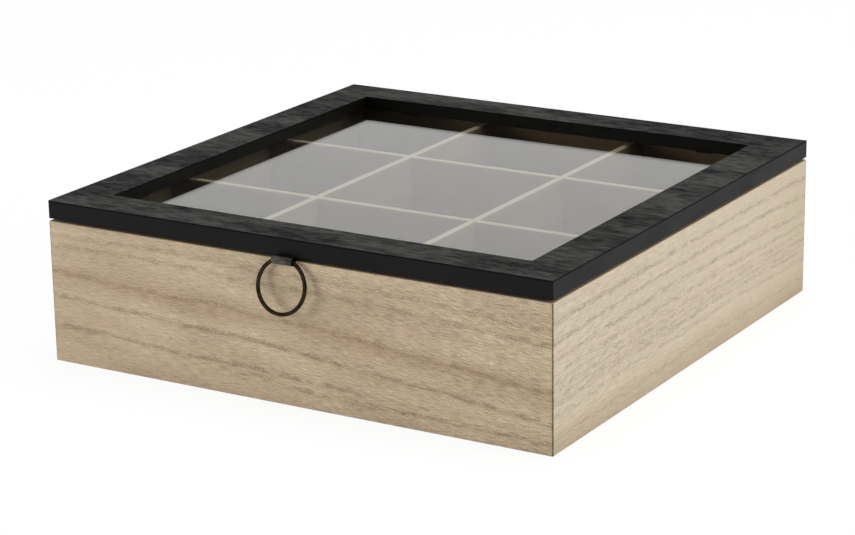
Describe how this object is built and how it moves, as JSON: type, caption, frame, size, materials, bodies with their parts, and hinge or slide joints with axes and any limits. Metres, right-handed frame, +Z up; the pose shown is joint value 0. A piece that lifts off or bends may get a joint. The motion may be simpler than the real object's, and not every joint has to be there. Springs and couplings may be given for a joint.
{
  "type": "tea bag organizer box",
  "caption": "Square wooden tea box with a divided inside, a hinged black lid with a glass window and a ring pull at the front.",
  "frame": {"origin": "middle of the box's underside, on the table, centred on the whole part", "axes": "+X to the right seen from the front, +Y from the front to the hinged back, +Z up; the ring pull faces -Y"},
  "size_m": [0.24, 0.2519, 0.0706],
  "materials": {
    "board_wood": "bare paulownia-like boards, sanded, unvarnished, with growth lines along their length",
    "divider_wood": "bare light wood, sanded",
    "base_ply": "thin bare plywood",
    "lid_lacquer": "fibreboard, matt black lacquer on its edges",
    "black_veneer": "open-grain veneer stained black, grain running side to side",
    "glass": "clear float glass",
    "hinge_metal": "thin pressed steel, blackened",
    "strap_metal": "folded steel strip, satin black",
    "ring_metal": "round wire, satin black over brown",
    "screw_steel": "small plain steel screws and pins"
  },
  "bodies": {
    "box": {"front_wall": "board_wood", "back_wall": "board_wood", "left_wall": "board_wood", "right_wall": "board_wood", "base_panel": "base_ply", "divider_long_front": "divider_wood", "divider_long_rear": "divider_wood", "divider_cross_left": "divider_wood", "divider_cross_right": "divider_wood", "hinge_left_body_leaf": "hinge_metal", "hinge_left_pin": "screw_steel", "hinge_right_body_leaf": "hinge_metal", "hinge_right_pin": "screw_steel", "hinge_body_screws": "screw_steel"},
    "lid": {"hinge_left_lid_leaf": "hinge_metal", "hinge_right_lid_leaf": "hinge_metal", "hinge_lid_screws": "screw_steel", "lid_frame": "lid_lacquer", "lid_veneer": "black_veneer", "glass_pane": "glass", "glass_clips": "hinge_metal", "clip_screws": "screw_steel", "ring_strap": "strap_metal", "strap_screws": "screw_steel"},
    "ring": {"pull_ring": "ring_metal"}
  },
  "joints": [
    {"name": "lid_hinge", "type": "hinge", "parent": "box", "child": "lid", "pos_m": [0, 0.1216, 0.0623], "axis": [-1, 0, 0], "range_deg": [0, 100]},
    {"name": "ring_swing", "type": "hinge", "parent": "lid", "child": "ring", "pos_m": [-0.0006, -0.12189, 0.0619], "axis": [-1, 0, 0], "range_deg": [-13, 174]}
  ]
}
